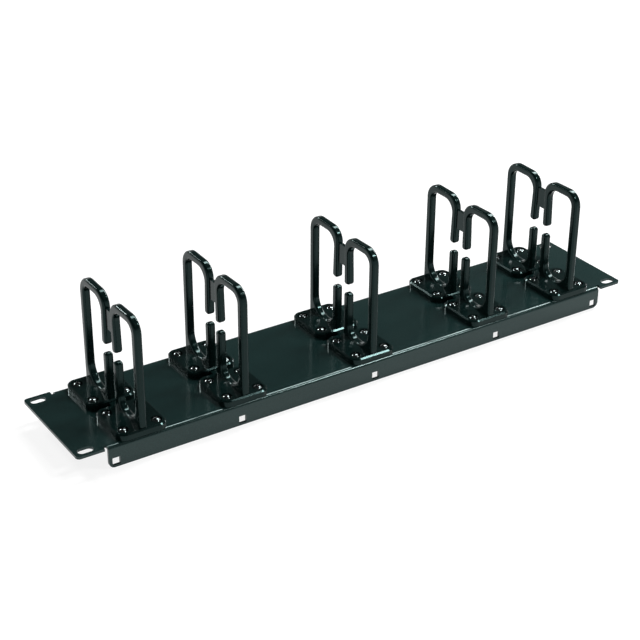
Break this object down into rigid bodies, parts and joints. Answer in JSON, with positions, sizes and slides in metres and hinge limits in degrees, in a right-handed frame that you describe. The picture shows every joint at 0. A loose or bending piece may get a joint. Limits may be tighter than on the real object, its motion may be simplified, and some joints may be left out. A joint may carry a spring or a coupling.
{
  "type": "horizontal cable manager",
  "caption": "Black steel channel panel for a 19 inch rack, two units high, with a row of moulded double cable rings, each open at hooked mouths beside a central throat.",
  "frame": {"origin": "under the middle of the panel, level with the edges of its two flanges", "axes": "+X along the panel, +Y up the rack, +Z out of the front of the rack"},
  "size_m": [0.4826, 0.0882, 0.1045],
  "materials": {
    "panel_coat": "satin black powder coat",
    "ring_plastic": "semi-gloss black moulded plastic",
    "screw_finish": "black oxide, bright where it catches the light",
    "nut_finish": "plain zinc"
  },
  "bodies": {
    "root": {"double_ring_1": "ring_plastic", "double_ring_2": "ring_plastic", "double_ring_3": "ring_plastic", "double_ring_4": "ring_plastic", "double_ring_5": "ring_plastic", "nuts_1_lower": "nut_finish", "nuts_1_upper": "nut_finish", "nuts_2_lower": "nut_finish", "nuts_2_upper": "nut_finish", "nuts_3_lower": "nut_finish", "nuts_3_upper": "nut_finish", "nuts_4_lower": "nut_finish", "nuts_4_upper": "nut_finish", "nuts_5_lower": "nut_finish", "nuts_5_upper": "nut_finish", "panel": "panel_coat", "screws_1_lower": "screw_finish", "screws_1_upper": "screw_finish", "screws_2_lower": "screw_finish", "screws_2_upper": "screw_finish", "screws_3_lower": "screw_finish", "screws_3_upper": "screw_finish", "screws_4_lower": "screw_finish", "screws_4_upper": "screw_finish", "screws_5_lower": "screw_finish", "screws_5_upper": "screw_finish"}
  },
  "joints": []
}
